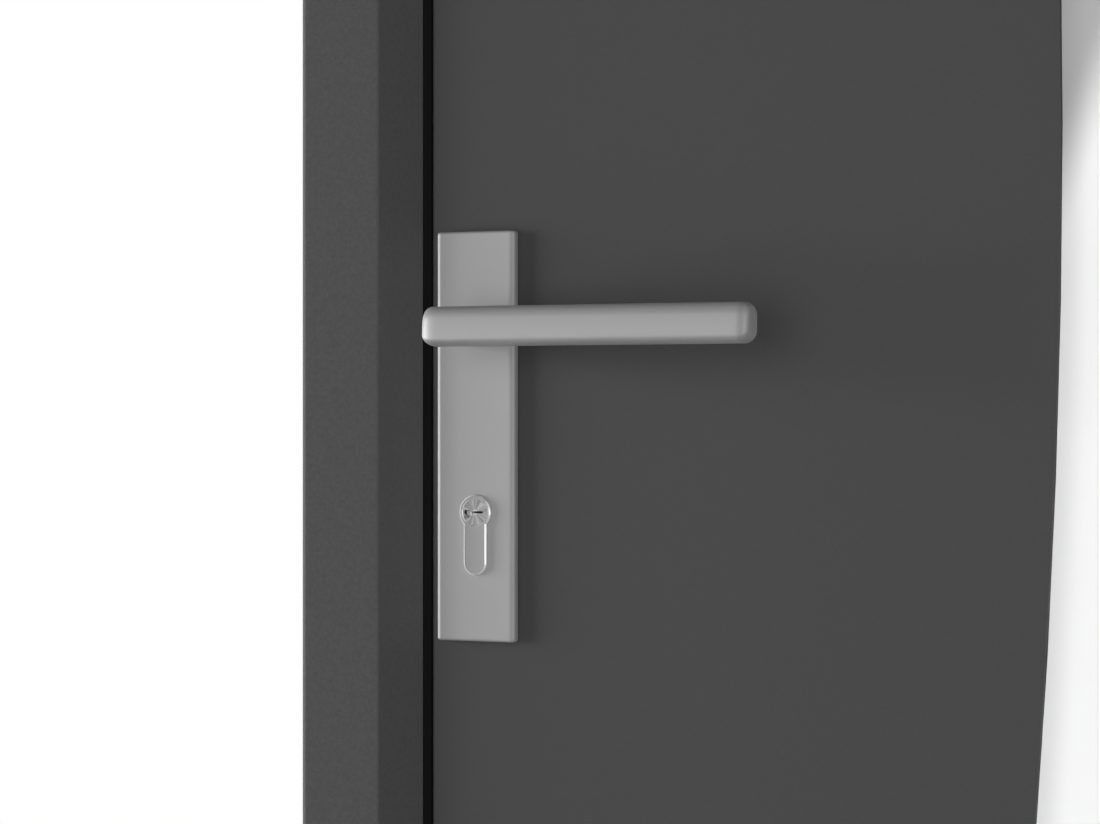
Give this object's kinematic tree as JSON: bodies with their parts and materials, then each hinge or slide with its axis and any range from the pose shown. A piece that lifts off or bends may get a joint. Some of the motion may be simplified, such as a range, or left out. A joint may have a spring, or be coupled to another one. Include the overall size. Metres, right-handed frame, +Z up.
{
  "type": "front door",
  "caption": "Aluminium front door set: flush anthracite leaf with a crescent light, lever handle on both faces and profile cylinder, hung in a thermally broken frame.",
  "frame": {"origin": "middle of the frame's footprint, on the underside of the threshold", "axes": "+X to the right as seen from outside, +Y inward through the wall, +Z up"},
  "size_m": [0.962, 0.151, 2.191],
  "materials": {
    "frame_coat": "fine-texture powder coat, anthracite",
    "leaf_coat": "matt powder coat, anthracite",
    "hinge_coat": "powder coat, anthracite",
    "handle_aluminium": "satin anodised",
    "mill_aluminium": "anodised, natural",
    "cylinder_nickel": "matt nickel plated brass",
    "lock_steel": "zinc plated steel",
    "break_plastic": "black polyamide",
    "seal_rubber": "black soft seal",
    "satin_glass": "satin etched glass"
  },
  "bodies": {
    "frame": {"lock_jamb": "frame_coat", "hinge_jamb": "frame_coat", "head": "frame_coat", "frame_breaks": "break_plastic", "threshold": "mill_aluminium", "threshold_break": "break_plastic", "lock_seal": "seal_rubber", "hinge_seal": "seal_rubber", "head_seal": "seal_rubber", "latch_strike": "lock_steel", "lower_strike": "lock_steel", "middle_strike": "lock_steel", "upper_strike": "lock_steel", "frame_knuckle_1": "hinge_coat", "frame_knuckle_2": "hinge_coat", "frame_knuckle_3": "hinge_coat"},
    "leaf": {"outer_skin": "leaf_coat", "inner_skin": "leaf_coat", "lock_stile": "frame_coat", "hinge_stile": "frame_coat", "top_rail": "frame_coat", "bottom_rail": "frame_coat", "leaf_breaks": "break_plastic", "bottom_seal": "seal_rubber", "light_lining": "frame_coat", "outer_pane": "satin_glass", "pane_spacer": "mill_aluminium", "inner_pane": "satin_glass", "light_bead": "frame_coat", "lock_faceplate": "lock_steel", "latch_bolt": "lock_steel", "hook_bolts": "lock_steel", "outer_plate": "handle_aluminium", "inner_plate": "handle_aluminium", "cylinder_body": "cylinder_nickel", "inner_plug": "cylinder_nickel", "leaf_knuckle_1": "hinge_coat", "leaf_knuckle_2": "hinge_coat", "leaf_knuckle_3": "hinge_coat"},
    "handle": {"outer_lever": "handle_aluminium", "inner_lever": "handle_aluminium", "handle_spindle": "lock_steel"},
    "key_plug": {"outer_plug": "cylinder_nickel"}
  },
  "joints": [
    {"name": "leaf_swing", "type": "hinge", "parent": "frame", "child": "leaf", "pos_m": [0.4595, 0.0725, 1.0955], "axis": [0, 0, -1], "range_deg": [0, 110]},
    {"name": "lever_turn", "type": "hinge", "parent": "leaf", "child": "handle", "pos_m": [-0.4216, -0.0175, 1.015], "axis": [0, 1, 0], "range_deg": [0, 40], "stiffness_Nm_per_rad": 1.5, "springref_deg": -34.38},
    {"name": "plug_turn", "type": "hinge", "parent": "leaf", "child": "key_plug", "pos_m": [-0.4216, -0.0187, 0.9403], "axis": [0, 1, 0], "continuous": true}
  ]
}
